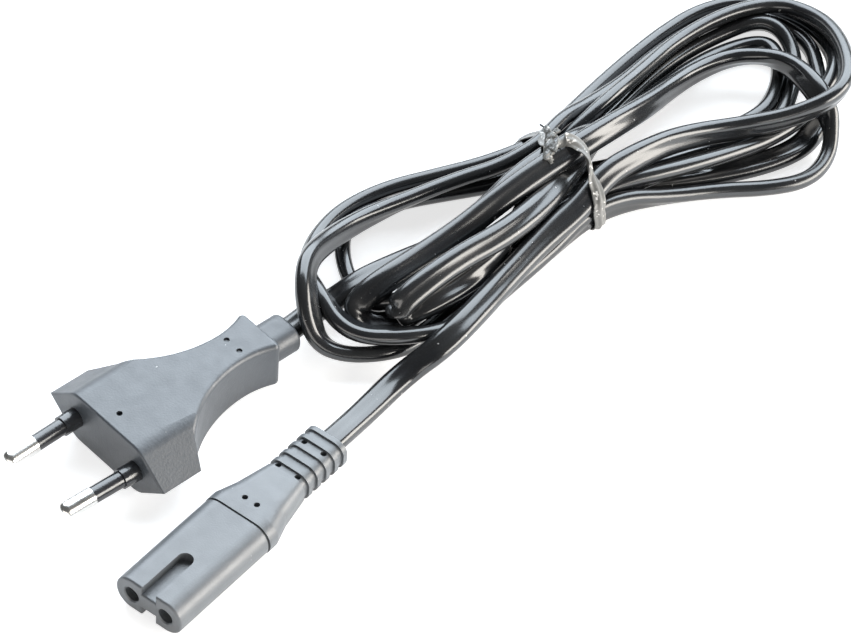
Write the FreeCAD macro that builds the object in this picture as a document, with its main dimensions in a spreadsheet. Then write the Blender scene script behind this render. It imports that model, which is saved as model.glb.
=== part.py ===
import FreeCAD, Part
import math
import os

import Sketcher

os.makedirs("parts", exist_ok=True)
Vector = FreeCAD.Vector
Rotation = FreeCAD.Rotation
Placement = FreeCAD.Placement
UP = Vector(0, 0, 1)

doc = FreeCAD.newDocument("figure_eight_cord_set")

# Driving dimensions, millimetres and degrees
SIZES = {
    # Figure eight connector: the nose goes into an appliance inlet
    "contact_spacing": 8.6,
    "nose_length": 26.8,
    "nose_width": 16.7,
    "nose_height": 8.1,
    "nose_corner": 3.9,
    "nose_edge": 0.5,
    "trough_length": 12.8,
    "trough_width": 3.5,
    "trough_depth": 2.1,
    "entry_diameter": 3.5,
    "entry_chamfer": 0.25,
    "entry_depth": 2.6,
    # Grip and strain relief behind the nose
    "shadow_gap": 0.5,
    "shadow_depth": 0.4,
    "grip_shoulder": 2.4,
    "grip_length": 14.8,
    "grip_width": 17.0,
    "grip_waist_at": 4.6,
    "grip_waist_width": 13.6,
    "grip_waist_height": 7.8,
    "relief_width": 9.2,
    "relief_height": 6.0,
    "relief_corner": 2.2,
    "relief_length": 13.7,
    "ring_step": 0.5,
    "ring_width": 1.15,
    "ring_pitch": 2.76,
    "first_ring": 1.5,
    # Round marks of the pins that hold the inside while it is moulded over
    "pin_mark": 1.3,
    "pin_mark_depth": 0.9,
    "grip_mark_spacing": 3.1,
    "grip_mark_from_gap": 4.0,
    "relief_mark_spacing": 5.0,
    # Contact carrier and the two rolled contacts
    "carrier_length": 21.0,
    "barrel_diameter": 5.0,
    "web_thickness": 2.4,
    "contact_bore": 2.4,
    "contact_wall": 0.3,
    "contact_length": 12.0,
    "contact_slot": 0.4,
    "contact_neck": 1.6,
    "crimp_length": 4.0,
    "crimp_wall": 0.4,
    "inner_gap": 0.05,
    # Flat two core cord
    "cord_width": 5.8,
    "cord_height": 3.4,
    "core_diameter": 2.1,
    "core_spacing": 2.4,
    "conductor_diameter": 1.1,
    "core_bend": 13.0,
    "strip_length": 2.0,
    "cord_grip": 8.0,
    # Mains plug: a slim hexagonal head, a waisted neck and a collar
    "head_width": 35.9,
    "head_height": 13.1,
    "head_flat": 20.0,
    "head_round": 5.0,
    "head_edge": 0.5,
    "head_length": 10.0,
    "head_back": 12.2,
    "neck_shoulder": 26.7,
    "neck_waist": 9.2,
    "neck_waist_from_end": 8.6,
    "neck_end": 13.3,
    "neck_taper": 0.6,
    "neck_taper_from": 8.2,
    "body_length": 41.6,
    "neck_edge": 1.2,
    "neck_end_edge": 1.0,
    "collar_width": 9.0,
    "collar_height": 7.0,
    "collar_corner": 3.2,
    "collar_length": 7.2,
    "collar_edge": 0.8,
    "head_mark_at": 3.6,
    "neck_mark_from_waist": 0.7,
    "neck_mark_spacing": 4.0,
    # Mains pins
    "pin_spacing": 18.8,
    "pin_lean": 1.66,
    "pin_length": 19.0,
    "pin_diameter": 4.0,
    "pin_shank": 2.8,
    "pin_nose": 1.6,
    "sleeve_diameter": 3.6,
    "sleeve_length": 11.2,
    "sleeve_root_diameter": 4.4,
    "sleeve_root_length": 3.9,
    "sleeve_anchor": 3.0,
    "crimp_reach": 0.8,
    "crimp_inset": 0.4,
    "crimp_shift": 0.25,
    # Bridge that holds the pins inside the head
    "bridge_width": 25.0,
    "bridge_height": 6.4,
    "bridge_length": 4.0,
    "bridge_start": 1.2,
    "bridge_corner": 1.0,
    "plug_bend_from": 1.0,
    "plug_core_bend": 13.0,
    # Tied hank of cord
    "hank_height": 14.0,
    "hank_edge": 2.0,
    "near_end_along": 53.0,
    "near_end_across": 8.0,
    "near_end_radius": 19.0,
    "far_end_along": 53.0,
    "far_end_across": 3.0,
    "far_end_radius": 28.0,
    "waist_back": 16.0,
    "waist_front": 4.0,
    "near_window_from": 50.0,
    "near_window_to": 16.0,
    "near_window_across": 12.5,
    "near_window_radius": 5.0,
    "far_window_from": 50.0,
    "far_window_to": 18.0,
    "far_window_across": 3.5,
    "far_window_radius": 8.0,
    "window_tip": 1.5,
    # Twist tie round the hank's waist
    "tie_along": 3.0,
    "tie_width": 3.4,
    "tie_thickness": 0.8,
    "tie_squeeze": 1.0,
    "tie_corner": 4.0,
    "tie_gap": 0.1,
    "wire_diameter": 0.4,
    "twist_diameter": 2.4,
    "twist_length": 9.0,
}

# Places that only the photographed pose fixes
PLUG_X = -32.8
PLUG_Y_FROM_FACE = 25.0
PLUG_TURN = -9.3
HANK_X = -3.0
HANK_Y_FROM_FACE = 147.0
HANK_TURN = 76.0
TWIST_TURN = 229.0
RING_COUNT = 5
ARC_SHARE = 0.45

# Corners of the cord's two free runs after their straight starts, chosen by eye
CONNECTOR_STRAIGHT = 10.1
CONNECTOR_CORD = [(-0.6, 42, 2.0), (-1.6, 55.5, 1.9), (-1.7, 67, 3.4), (-2.8, 76.5, 5.2), (-5, 85.5, 7)]
PLUG_STRAIGHT = 6.7
PLUG_CORD = [(-24.3, 52, 5.8), (-23.6, 59, 4.8)]
sheet = doc.addObject("Spreadsheet::Sheet", "Sizes")
for row, (alias, value) in enumerate(SIZES.items(), start=1):
    sheet.set("A%d" % row, alias)
    sheet.set("B%d" % row, str(value))
    sheet.setAlias("B%d" % row, alias)
doc.recompute()


class Size:
    """A number together with the sheet formula that gives it."""

    def __init__(self, value, formula):
        self.value = value
        self.formula = formula

    def __add__(self, other):
        other = as_size(other)
        return Size(self.value + other.value, "(%s + %s)" % (self.formula, other.formula))

    def __sub__(self, other):
        other = as_size(other)
        return Size(self.value - other.value, "(%s - %s)" % (self.formula, other.formula))

    def __mul__(self, factor):
        return Size(self.value * factor, "(%s * %s)" % (self.formula, factor))

    def __truediv__(self, divisor):
        return self * (1 / divisor)

    def __neg__(self):
        return self * -1


def as_size(number):
    """A Size, made from a plain number where one is given."""
    return number if isinstance(number, Size) else Size(number, "(%s)" % number)


def cell(alias):
    """Size that one cell of the sheet holds."""
    return Size(float(sheet.get(alias)), "Sizes." + alias)


def bind(obj, prop, length):
    """Tie one property to the sheet."""
    obj.setExpression(prop, as_size(length).formula)


def named(kind, name):
    """Document object whose label is its name."""
    obj = doc.addObject(kind, name)
    obj.Label = name
    return obj


def origin_plane(body, role):
    """One of the origin planes or axes of a body."""
    return next(item for item in body.Origin.OriginFeatures if item.Role == role)


def new_sketch(body, name, role, offset=0):
    """Sketch on an origin plane of its body, moved along the plane's normal."""
    sketch = body.newObject("Sketcher::SketchObject", name)
    sketch.AttachmentSupport = [(origin_plane(body, role), "")]
    sketch.MapMode = "FlatFace"
    bind(sketch, "AttachmentOffset.Base.z", offset)
    return sketch


def station(body, name, along):
    """Sketch across the body's length, at a distance along +Y."""
    return new_sketch(body, name, "XZ_Plane", -as_size(along))


def pin_point(sketch, geometry, end, x, y):
    """Hold one point of a sketch at two sizes from its origin."""
    for kind, length in (("DistanceX", as_size(x)), ("DistanceY", as_size(y))):
        index = sketch.addConstraint(Sketcher.Constraint(kind, -1, 1, geometry, end, length.value))
        bind(sketch, "Constraints[%d]" % index, length)


def hold_radius(sketch, geometry, radius):
    """Hold the radius of an arc or a circle."""
    radius = as_size(radius)
    index = sketch.addConstraint(Sketcher.Constraint("Radius", geometry, radius.value))
    bind(sketch, "Constraints[%d]" % index, radius)


def circle(sketch, x, y, radius):
    """Circle about a sized centre."""
    x, y, radius = as_size(x), as_size(y), as_size(radius)
    shape = Part.Circle(Vector(x.value, y.value, 0), UP, radius.value)
    index = sketch.addGeometry(shape, False)
    pin_point(sketch, index, 3, x, y)
    hold_radius(sketch, index, radius)


def polygon(sketch, corners):
    """Closed outline of straight lines through sized corners."""
    corners = [(as_size(x), as_size(y)) for x, y in corners]
    points = [Vector(x.value, y.value, 0) for x, y in corners]
    first = sketch.GeometryCount
    count = len(points)
    for i in range(count):
        sketch.addGeometry(Part.LineSegment(points[i], points[(i + 1) % count]), False)
    for i in range(count):
        following = first + (i + 1) % count
        sketch.addConstraint(Sketcher.Constraint("Coincident", first + i, 2, following, 1))
    for i, (x, y) in enumerate(corners):
        pin_point(sketch, first + i, 1, x, y)


def rounded_section(sketch, width, height, corner):
    """Upright rounded rectangle about the sketch's origin."""
    width, height, corner = as_size(width), as_size(height), as_size(corner)
    x, y, r = width.value / 2, height.value / 2, corner.value
    sides = [((-x + r, y), (x - r, y)), ((x, y - r), (x, -y + r)),
             ((x - r, -y), (-x + r, -y)), ((-x, -y + r), (-x, y - r))]
    centres = [(x - r, y - r, 0), (x - r, -y + r, -90), (-x + r, -y + r, -180), (-x + r, y - r, -270)]
    for start, end in sides:
        sketch.addGeometry(Part.LineSegment(Vector(*start, 0), Vector(*end, 0)), False)
    for cx, cy, turn in centres:
        round_corner = Part.Circle(Vector(cx, cy, 0), UP, r)
        low = math.radians(turn)
        sketch.addGeometry(Part.ArcOfCircle(round_corner, low, low + math.pi / 2), False)
    for i in range(4):
        sketch.addConstraint(Sketcher.Constraint("Tangent", i, 2, 4 + i, 2))
        sketch.addConstraint(Sketcher.Constraint("Tangent", 4 + i, 1, (i + 1) % 4, 1))
    for i in (0, 2):
        sketch.addConstraint(Sketcher.Constraint("Horizontal", i))
        sketch.addConstraint(Sketcher.Constraint("Vertical", i + 1))
    for i in (5, 6, 7):
        sketch.addConstraint(Sketcher.Constraint("Equal", 4, i))
    sketch.addConstraint(Sketcher.Constraint("Symmetric", 0, 1, 2, 1, -1, 1))
    hold_radius(sketch, 4, corner)
    across = sketch.addConstraint(Sketcher.Constraint("DistanceX", 3, 1, 1, 1, width.value))
    bind(sketch, "Constraints[%d]" % across, width)
    upright = sketch.addConstraint(Sketcher.Constraint("DistanceY", 2, 1, 0, 1, height.value))
    bind(sketch, "Constraints[%d]" % upright, height)


def pad(body, sketch, length, name, backwards=True, both=False):
    """Pad of a sketch: along +Y from a station, unless said otherwise."""
    feature = body.newObject("PartDesign::Pad", name)
    feature.Profile = sketch
    bind(feature, "Length", length)
    feature.Reversed = backwards
    if both:
        feature.SideType = "Symmetric"
    return feature


def pocket(body, sketch, length, name, backwards=False, both=False):
    """Pocket of a sketch, which must take something away."""
    doc.recompute()
    before = body.Shape.Volume
    feature = body.newObject("PartDesign::Pocket", name)
    feature.Profile = sketch
    bind(feature, "Length", length)
    feature.Reversed = backwards
    if both:
        feature.SideType = "Symmetric"
    doc.recompute()
    if feature.Shape.Volume > before - 1e-6:
        raise ValueError(name + " takes nothing away")
    return feature


def mirrored(body, feature, name, role="XY_Plane"):
    """Copy of a feature on the other side of an origin plane."""
    copy = body.newObject("PartDesign::Mirrored", name)
    copy.Originals = [feature]
    copy.MirrorPlane = (origin_plane(body, role), [""])
    body.Tip = copy
    return copy


def repeated(body, feature, count, pitch, name):
    """Row of a feature along +Y."""
    row = body.newObject("PartDesign::LinearPattern", name)
    row.Originals = [feature]
    row.Direction = (origin_plane(body, "Y_Axis"), [""])
    row.Mode = "Spacing"
    bind(row, "Offset", pitch)
    row.Occurrences = count
    body.Tip = row
    return row


def rounded_edges(body, radius, name, wanted):
    """Fillet of the edges that a test picks."""
    doc.recompute()
    base = body.Tip
    edges = base.Shape.Edges
    picked = ["Edge%d" % (i + 1) for i, edge in enumerate(edges) if wanted(edge.BoundBox)]
    if not picked:
        raise ValueError(name + " finds no edge")
    feature = body.newObject("PartDesign::Fillet", name)
    feature.Base = (base, picked)
    bind(feature, "Radius", radius)
    return feature


def put(obj, x, y, z, turn=0):
    """Place an object, with its base point tied to the sheet."""
    x, y, z = as_size(x), as_size(y), as_size(z)
    obj.Placement = Placement(Vector(x.value, y.value, z.value), Rotation(UP, turn))
    bind(obj, "Placement.Base.x", x)
    bind(obj, "Placement.Base.y", y)
    bind(obj, "Placement.Base.z", z)


def cut(name, base, tools):
    """One solid less the space of others."""
    tool = tools[0]
    if len(tools) > 1:
        tool = named("Part::MultiFuse", name + "_space")
        tool.Shapes = tools
    result = named("Part::Cut", name)
    result.Base = base
    result.Tool = tool
    return result


grip_front = cell("nose_length") + cell("shadow_gap")
shoulder_end = grip_front + cell("grip_shoulder")
grip_end = grip_front + cell("grip_length")
connector_length = grip_end + cell("relief_length")
connector_y = -connector_length / 2
connector_z = cell("nose_height") / 2
contact_x = cell("contact_spacing") / 2


def put_in_connector(obj):
    """Stand a piece of the connector: mating face towards -Y, underside on z 0."""
    put(obj, 0, connector_y, connector_z)


def connector_nose(body):
    """The stadium nose, the shadow gap behind it and the grip's straight shoulder."""
    face = station(body, "mating_face", 0)
    rounded_section(face, cell("nose_width"), cell("nose_height"), cell("nose_corner"))
    pad(body, face, cell("nose_length"), "nose")
    gap = station(body, "shadow_gap_section", cell("nose_length"))
    inset = cell("shadow_depth") * 2
    gap_corner = cell("nose_corner") - cell("shadow_depth")
    rounded_section(gap, cell("nose_width") - inset, cell("nose_height") - inset, gap_corner)
    pad(body, gap, cell("shadow_gap"), "shadow_gap")
    front = station(body, "grip_front_section", grip_front)
    rounded_section(front, cell("grip_width"), cell("nose_height"), cell("nose_corner"))
    pad(body, front, cell("grip_shoulder"), "shoulder")


def connector_grip(body):
    """The grip, drawn in from the shoulder to the strain relief."""
    step = cell("ring_step") * 2
    start = station(body, "grip_start", shoulder_end)
    rounded_section(start, cell("grip_width"), cell("nose_height"), cell("nose_corner"))
    middle = station(body, "grip_middle", shoulder_end + cell("grip_waist_at"))
    middle_corner = cell("nose_corner") - cell("ring_step")
    rounded_section(middle, cell("grip_waist_width"), cell("grip_waist_height"), middle_corner)
    end = station(body, "grip_end", grip_end)
    end_corner = cell("relief_corner") + cell("ring_step")
    rounded_section(end, cell("relief_width") + step, cell("relief_height") + step, end_corner)
    grip = body.newObject("PartDesign::AdditiveLoft", "grip")
    grip.Profile = start
    grip.Sections = [middle, end]
    grip.Ruled = True


def connector_relief(body):
    """The strain relief: a slim core with five raised rings."""
    step = cell("ring_step") * 2
    core = station(body, "relief_section", grip_end)
    rounded_section(core, cell("relief_width"), cell("relief_height"), cell("relief_corner"))
    pad(body, core, cell("relief_length"), "relief")
    ring = station(body, "ring_section", grip_end + cell("first_ring"))
    ring_corner = cell("relief_corner") + cell("ring_step")
    rounded_section(ring, cell("relief_width") + step, cell("relief_height") + step, ring_corner)
    first = pad(body, ring, cell("ring_width"), "ring")
    doc.recompute()
    repeated(body, first, RING_COUNT, cell("ring_pitch"), "rings")


def connector_troughs(body):
    """The two round ended troughs that make the nose a figure eight."""
    half = cell("trough_width") / 2
    top = new_sketch(body, "trough_outline", "XY_Plane", cell("nose_height") / 2)
    straight = cell("trough_length") - half
    corners = [(-half, -1), (half, -1), (half, straight), (-half, straight)]
    polygon(top, corners)
    trough = pocket(body, top, cell("trough_depth"), "trough")
    end = new_sketch(body, "trough_end_outline", "XY_Plane", cell("nose_height") / 2)
    circle(end, 0, straight, half)
    trough_end = pocket(body, end, cell("trough_depth"), "trough_end")
    copy = mirrored(body, trough, "lower_trough")
    copy.Originals = [trough, trough_end]


def connector_marks(body):
    """Blind round marks above and below the grip and the relief."""
    grip_marks = new_sketch(body, "grip_mark_outline", "XY_Plane", cell("nose_height") / 2)
    for side in (-0.5, 0.5):
        x = cell("grip_mark_spacing") * side
        circle(grip_marks, x, grip_front + cell("grip_mark_from_gap"), cell("pin_mark") / 2)
    upper = pocket(body, grip_marks, cell("pin_mark_depth"), "grip_marks")
    mirrored(body, upper, "lower_grip_marks")
    relief_top = cell("relief_height") / 2
    relief_marks = new_sketch(body, "relief_mark_outline", "XY_Plane", relief_top)
    for ring in (0, 3):
        y = grip_end + cell("first_ring") - cell("pin_mark") / 2 + cell("ring_pitch") * ring
        for side in (-0.5, 0.5):
            circle(relief_marks, cell("relief_mark_spacing") * side, y, cell("pin_mark") / 2)
    small = pocket(body, relief_marks, cell("pin_mark_depth"), "relief_marks")
    mirrored(body, small, "lower_relief_marks")


def on_mating_face(box):
    """Whether an edge's box lies in the mating face."""
    return abs(box.YMin) < 1e-6 and abs(box.YMax) < 1e-6


def connector_moulding():
    """The whole outer moulding of the connector, still without its inside."""
    body = named("PartDesign::Body", "connector_moulding")
    connector_nose(body)
    connector_grip(body)
    connector_relief(body)
    connector_troughs(body)
    rounded_edges(body, cell("nose_edge"), "face_rounding", on_mating_face)
    connector_marks(body)
    put_in_connector(body)
    return body


def barrels_and_web(name, grow, start, length):
    """Two barrels about the contacts, joined by a web."""
    body = named("PartDesign::Body", name)
    grow = as_size(grow)
    barrels = station(body, name + "_barrels", start)
    for side in (-1, 1):
        circle(barrels, contact_x * side, 0, cell("barrel_diameter") / 2 + grow)
    pad(body, barrels, length, name + "_barrel_pad")
    web = station(body, name + "_web", start)
    half = cell("web_thickness") / 2 + grow
    polygon(web, [(-contact_x, -half), (contact_x, -half), (contact_x, half), (-contact_x, half)])
    pad(body, web, length, name + "_web_pad")
    put_in_connector(body)
    return body


def round_bar(name, x, y, diameter, length):
    """Round bar along +Y in the connector's frame."""
    bar = named("Part::Cylinder", name)
    bind(bar, "Radius", as_size(diameter) / 2)
    bind(bar, "Height", length)
    put(bar, x, connector_y + y, connector_z)
    bar.Placement = Placement(bar.Placement.Base, Rotation(Vector(1, 0, 0), -90))
    return bar


def entry(name, x):
    """Space of one pin entry with its chamfered mouth."""
    bore = round_bar(name + "_bore", x, 0, cell("entry_diameter"), cell("entry_depth"))
    mouth = named("Part::Cone", name + "_mouth")
    bind(mouth, "Radius1", cell("entry_diameter") / 2 + cell("entry_chamfer"))
    bind(mouth, "Radius2", cell("entry_diameter") / 2)
    bind(mouth, "Height", cell("entry_chamfer"))
    put(mouth, x, connector_y, connector_z)
    mouth.Placement = Placement(mouth.Placement.Base, Rotation(Vector(1, 0, 0), -90))
    return [bore, mouth]


def lead(name, place, run, bore=None):
    """Round lead in the middle plane: straight, two equal arcs inwards, straight again.

    run holds the side, the outer and inner x, where it starts, bends, is straight and ends,
    and the diameter.
    """
    side, outer, inner, start, bend, straight, end, diameter = run
    body = named("PartDesign::Body", name)
    path = new_sketch(body, name + "_path", "XY_Plane")
    sway = outer.value - inner.value
    reach = straight.value - bend.value
    radius = (reach ** 2 + sway ** 2) / (4 * sway)
    turn = math.asin(reach / 2 / radius)
    ends = [(outer, start), (outer, bend), (inner, straight), (inner, end)]
    points = [Vector(side * x.value, y.value, 0) for x, y in ends]
    path.addGeometry(Part.LineSegment(points[0], points[1]), False)
    path.addGeometry(Part.LineSegment(points[2], points[3]), False)
    near = Part.Circle(Vector(side * (outer.value - radius), bend.value, 0), UP, radius)
    far = Part.Circle(Vector(side * (inner.value + radius), straight.value, 0), UP, radius)
    if side > 0:
        path.addGeometry(Part.ArcOfCircle(near, 0, turn), False)
        path.addGeometry(Part.ArcOfCircle(far, math.pi, math.pi + turn), False)
        joints = [(0, 2, 2, 1), (2, 2, 3, 2), (3, 1, 1, 1)]
    else:
        path.addGeometry(Part.ArcOfCircle(near, math.pi - turn, math.pi), False)
        path.addGeometry(Part.ArcOfCircle(far, -turn, 0), False)
        joints = [(0, 2, 2, 2), (2, 1, 3, 1), (3, 2, 1, 1)]
    for joint in joints:
        path.addConstraint(Sketcher.Constraint("Tangent", *joint))
    path.addConstraint(Sketcher.Constraint("Equal", 2, 3))
    pin_point(path, 0, 1, outer * side, start)
    pin_point(path, 0, 2, outer * side, bend)
    pin_point(path, 1, 1, inner * side, straight)
    pin_point(path, 1, 2, inner * side, end)
    section = station(body, name + "_section", start)
    circle(section, outer * side, 0, as_size(diameter) / 2)
    if bore:
        circle(section, outer * side, 0, as_size(bore) / 2)
    pipe = body.newObject("PartDesign::AdditivePipe", name + "_pipe")
    pipe.Profile = section
    pipe.Spine = path
    place(body)
    return body


gap = cell("inner_gap")
carrier_start = cell("entry_depth")
carrier_end = carrier_start + cell("carrier_length")
contact_start = carrier_start + gap
crimp_bore = cell("conductor_diameter") + gap * 2
crimp_diameter = crimp_bore + cell("crimp_wall") * 2
contact_diameter = cell("contact_bore") + cell("contact_wall") * 2
neck_start = contact_start + cell("contact_length")
crimp_start = neck_start + cell("contact_neck")
crimp_end = crimp_start + cell("crimp_length")
sheath_start = connector_length - cell("cord_grip")
core_x = cell("core_spacing") / 2


def connector_lead(name, side, start, diameter, bore=None):
    """One core, or its copper, from a start to the end of the cord's sheath."""
    bend = carrier_end + cell("strip_length")
    straight = bend + cell("core_bend")
    run = (side, contact_x, core_x, start, bend, straight, sheath_start, diameter)
    return lead(name, put_in_connector, run, bore)


def connector_contact(name, side):
    """Rolled contact: a slotted socket, a neck and a wire crimp, in one piece."""
    body = named("PartDesign::Body", name)
    half_section = new_sketch(body, name + "_section", "XY_Plane")
    bore = cell("contact_bore") / 2
    wall = contact_diameter / 2
    small = crimp_bore / 2
    polygon(half_section, [
        (bore, contact_start), (wall, contact_start), (wall, neck_start),
        (crimp_diameter / 2, crimp_start), (crimp_diameter / 2, crimp_end),
        (small, crimp_end), (small, crimp_start), (bore, neck_start)])
    roll = body.newObject("PartDesign::Revolution", name + "_roll")
    roll.Profile = half_section
    roll.ReferenceAxis = (half_section, ["V_Axis"])
    roll.Angle = 360
    slot = new_sketch(body, name + "_slot_outline", "XY_Plane")
    half = cell("contact_slot") / 2
    front = contact_start - 1
    polygon(slot, [(-half, front), (half, front), (half, neck_start), (-half, neck_start)])
    pocket(body, slot, contact_diameter, name + "_slot", backwards=True)
    put(body, contact_x * side, connector_y, connector_z)
    return body


def build_connector(cord):
    """All pieces of the connector, moulded round the end of its cord."""
    pieces = []
    spaces = [barrels_and_web("carrier_space", gap, carrier_start, cell("carrier_length")), cord]
    bores = []
    wide = cell("core_diameter") + gap * 2
    for side, word in ((-1, "left"), (1, "right")):
        spaces += entry("entry_" + word, contact_x * side)
        spaces.append(connector_lead("core_space_" + word, side, carrier_end, wide))
        y = carrier_start
        bores.append(round_bar("carrier_bore_" + word, contact_x * side, y, contact_diameter + gap * 2,
                               cell("carrier_length")))
        pieces.append(connector_contact("connector_contact_" + word, side))
        copper = cell("conductor_diameter")
        start = crimp_start + gap
        pieces.append(connector_lead("connector_conductor_" + word, side, start, copper))
        bare_end = carrier_end + gap
        core = connector_lead("connector_core_" + word, side, bare_end, cell("core_diameter"), copper)
        pieces.append(core)
    pieces.append(cut("connector_body", connector_moulding(), spaces))
    carrier = barrels_and_web("carrier_blank", 0, carrier_start, cell("carrier_length"))
    pieces.append(cut("connector_carrier", carrier, bores))
    return pieces


plug_y = connector_y + PLUG_Y_FROM_FACE
plug_z = cell("head_height") / 2
neck_waist_y = cell("body_length") - cell("neck_waist_from_end")
neck_marks_y = neck_waist_y + cell("neck_mark_from_waist")
plug_axis = Vector(-math.sin(math.radians(PLUG_TURN)), math.cos(math.radians(PLUG_TURN)), 0)
plug_side = Vector(math.cos(math.radians(PLUG_TURN)), math.sin(math.radians(PLUG_TURN)), 0)


def put_in_plug(obj):
    """Lay a piece of the plug: front face towards the pins, underside on z 0."""
    put(obj, PLUG_X, plug_y, plug_z, PLUG_TURN)


def put_on_pin(obj, side):
    """Set a piece on the axis of one pin, which leans towards its twin."""
    shift = cell("pin_spacing") / 2 * side
    x = shift * plug_side.x + PLUG_X
    y = shift * plug_side.y + plug_y
    put(obj, x, y, plug_z, PLUG_TURN - side * cell("pin_lean").value)


def plug_head(body):
    """Six sided bar as long as the whole body, with its flats rounded over."""
    section = station(body, "head_section", 0)
    wide = cell("head_width") / 2
    flat = cell("head_flat") / 2
    high = cell("head_height") / 2
    polygon(section, [(-wide, 0), (-flat, high), (flat, high), (wide, 0), (flat, -high), (-flat, -high)])
    pad(body, section, cell("body_length"), "bar")

    def on_flat(box):
        return abs(abs(box.XMin) - flat.value) < 1e-6 and box.YLength > 1 and box.ZLength < 1e-6

    rounded_edges(body, cell("head_round"), "flat_rounding", on_flat)
    rounded_edges(body, cell("head_edge"), "front_rounding", lambda box: box.YMax < 1e-6)


def waist_arc(along, sway):
    """Arc from the waist of the neck, where it runs straight, to a place so far off and out."""
    radius = (along ** 2 + sway ** 2) / (2 * sway)
    rise = math.asin(abs(along) / radius)
    centre = Vector(cell("neck_waist").value / 2 + radius, neck_waist_y.value, 0)
    circle_of_arc = Part.Circle(centre, UP, radius)
    if along < 0:
        return Part.ArcOfCircle(circle_of_arc, math.pi, math.pi + rise)
    return Part.ArcOfCircle(circle_of_arc, math.pi - rise, math.pi)


def flank_outline(body):
    """What is taken off one side of the bar behind the head: its waisted neck."""
    sketch = new_sketch(body, "flank_outline", "XY_Plane")
    wide = cell("head_width") / 2
    far = wide + 1
    waist_x, shoulder_x, end_x = cell("neck_waist") / 2, cell("neck_shoulder") / 2, cell("neck_end") / 2
    back_y, end_y = cell("head_back"), cell("body_length")
    front_arc = waist_arc(back_y.value - neck_waist_y.value, shoulder_x.value - waist_x.value)
    rear_arc = waist_arc(end_y.value - neck_waist_y.value, end_x.value - waist_x.value)
    shoulder, tail = front_arc.EndPoint, rear_arc.StartPoint
    side_end, beyond = cell("head_length"), end_y + 1
    corners = [Vector(wide.value, side_end.value, 0), Vector(far.value, side_end.value, 0),
               Vector(far.value, beyond.value, 0), Vector(tail.x, beyond.value, 0)]
    shapes = [front_arc, rear_arc, Part.LineSegment(shoulder, corners[0]),
              Part.LineSegment(corners[0], corners[1]), Part.LineSegment(corners[1], corners[2]),
              Part.LineSegment(corners[2], corners[3]), Part.LineSegment(corners[3], tail)]
    sketch.addGeometry(shapes, False)
    sketch.addConstraint(Sketcher.Constraint("Tangent", 0, 1, 1, 2))
    sketch.addConstraint(Sketcher.Constraint("Coincident", 0, 2, 2, 1))
    for i in range(2, 6):
        sketch.addConstraint(Sketcher.Constraint("Coincident", i, 2, i + 1, 1))
    sketch.addConstraint(Sketcher.Constraint("Coincident", 6, 2, 1, 1))
    sketch.addConstraint(Sketcher.Constraint("Vertical", 6))
    pin_point(sketch, 0, 1, waist_x, neck_waist_y)
    hold_height(sketch, 0, 3, neck_waist_y)
    pin_point(sketch, 0, 2, shoulder_x, back_y)
    pin_point(sketch, 1, 1, end_x, end_y)
    hold_height(sketch, 6, 1, beyond)
    pin_point(sketch, 3, 1, wide, side_end)
    pin_point(sketch, 4, 1, far, side_end)
    pin_point(sketch, 5, 1, far, beyond)
    return sketch


def hold_height(sketch, geometry, end, y):
    """Hold one point of a sketch at a height from its origin."""
    index = sketch.addConstraint(Sketcher.Constraint("DistanceY", -1, 1, geometry, end, y.value))
    bind(sketch, "Constraints[%d]" % index, y)


def neck_taper(body):
    """Wedge taken off above and below, so that the neck thins towards its end."""
    sketch = new_sketch(body, "taper_outline", "YZ_Plane")
    high = cell("head_height") / 2
    low = high - cell("neck_taper")
    front, end = cell("neck_taper_from"), cell("body_length")
    polygon(sketch, [(front, high), (end, low), (end + 1, low), (end + 1, high + 1), (front, high + 1)])
    upper = pocket(body, sketch, cell("head_width"), "taper", both=True)
    mirrored(body, upper, "lower_taper")


def plug_marks(body):
    """Blind round marks above and below: one on the head, two on the neck."""
    marks = new_sketch(body, "plug_mark_outline", "XY_Plane", cell("head_height") / 2)
    radius = cell("pin_mark") / 2
    circle(marks, 0, cell("head_mark_at"), radius)
    for side in (-0.5, 0.5):
        circle(marks, cell("neck_mark_spacing") * side, neck_marks_y, radius)
    upper = pocket(body, marks, cell("pin_mark_depth"), "plug_marks")
    mirrored(body, upper, "lower_plug_marks")


def plug_collar(body):
    """The short collar round the cord behind the neck."""
    section = station(body, "collar_section", cell("body_length"))
    rounded_section(section, cell("collar_width"), cell("collar_height"), cell("collar_corner"))
    pad(body, section, cell("collar_length"), "collar")
    end = (cell("body_length") + cell("collar_length")).value

    def on_collar_end(box):
        return abs(box.YMin - end) < 1e-6 and box.YLength < 1e-6

    rounded_edges(body, cell("collar_edge"), "collar_rounding", on_collar_end)


def plug_moulding():
    """The whole outer moulding of the plug, still without its inside."""
    body = named("PartDesign::Body", "plug_moulding")
    plug_head(body)
    flank = pocket(body, flank_outline(body), cell("head_height") + 1, "flank", both=True)
    mirrored(body, flank, "other_flank", "YZ_Plane")
    neck_taper(body)
    neck_from = cell("head_back").value - 0.1
    neck_to = cell("body_length").value - 0.1

    def along_neck(box):
        return box.YMin > neck_from and box.YLength > 0.5 and box.XLength + box.ZLength > 0.3

    rounded_edges(body, cell("neck_edge"), "neck_rounding", along_neck)
    rounded_edges(body, cell("neck_end_edge"), "neck_end_rounding", lambda box: box.YMin > neck_to)
    plug_collar(body)
    plug_marks(body)
    put_in_plug(body)
    return body


bridge_end = cell("bridge_start") + cell("bridge_length")
plug_crimp_start = bridge_end + cell("crimp_reach")
plug_crimp_end = plug_crimp_start + cell("crimp_length")
lead_outer = cell("pin_spacing") / 2 + cell("crimp_shift")
plug_length = cell("body_length") + cell("collar_length")
plug_sheath_start = plug_length - cell("cord_grip")


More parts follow.
